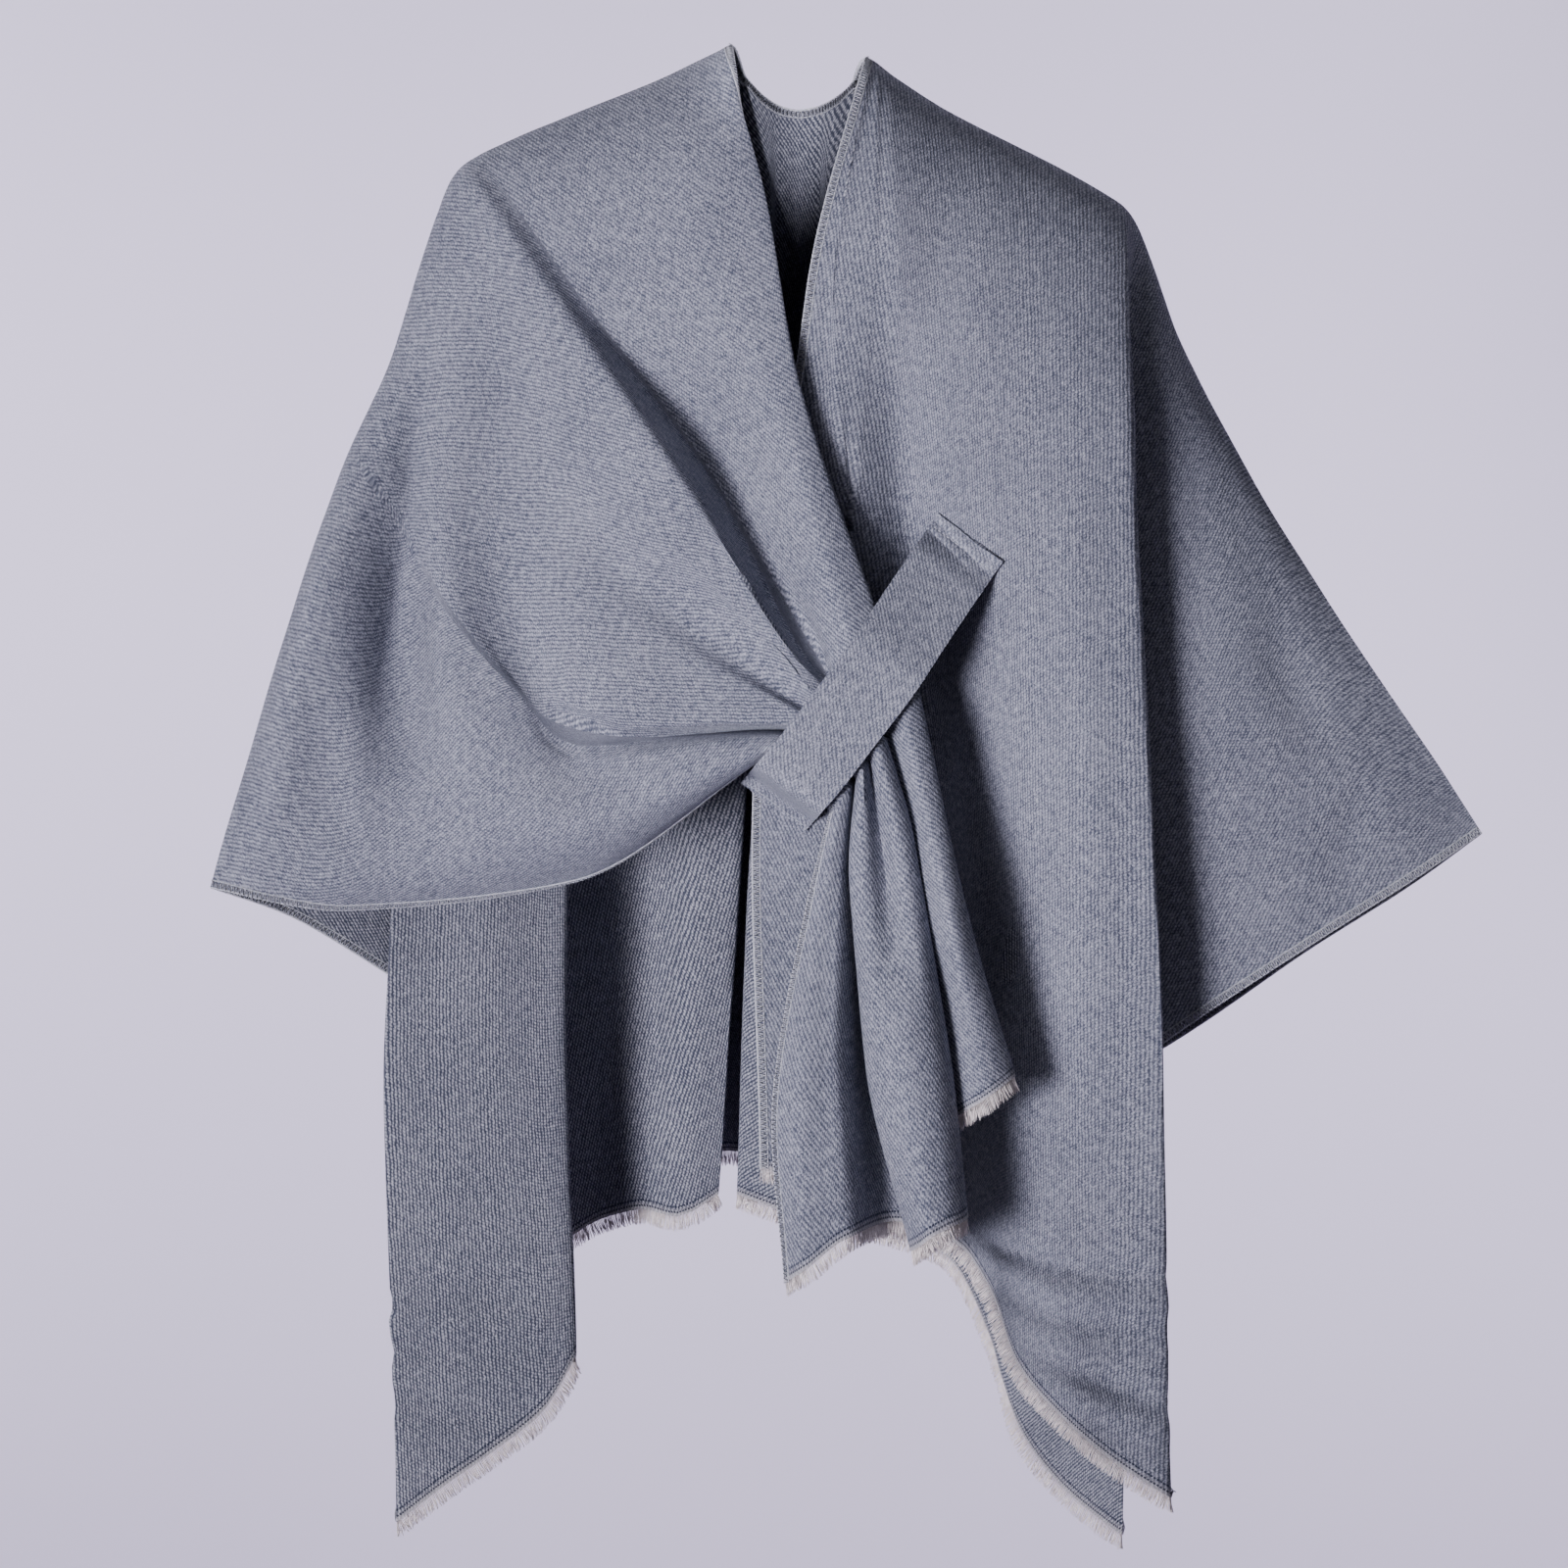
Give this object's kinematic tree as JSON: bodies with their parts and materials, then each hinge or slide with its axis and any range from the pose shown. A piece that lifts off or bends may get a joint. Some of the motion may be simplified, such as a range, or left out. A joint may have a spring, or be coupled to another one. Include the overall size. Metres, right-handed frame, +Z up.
{
  "type": "open-front wrap poncho",
  "caption": "Woven twill wrap poncho: an oblong of cloth slit up the front, one front drawn through a sewn strap loop, fringed hems.",
  "frame": {"origin": "midway between the two points of the neck, on the line of the shoulders that carry the wrap", "axes": "+Z up, -Y to the front, +X to the wearer's left"},
  "size_m": [0.7778, 0.3573, 0.923],
  "materials": {
    "twill": "brushed grey-blue heather twill, matt, light and dark yarns mixed",
    "strap_twill": "the same grey-blue heather twill, doubled",
    "fringe_yarn": "short cream and pale pink eyelash fringe of cut warp ends"
  },
  "bodies": {
    "root": {"back_panel": "twill", "left_front": "twill", "right_front": "twill", "right_front_tail": "twill", "strap_loop": "strap_twill", "fringe_back": "fringe_yarn", "fringe_left_front": "fringe_yarn", "fringe_right_front": "fringe_yarn"}
  },
  "joints": []
}
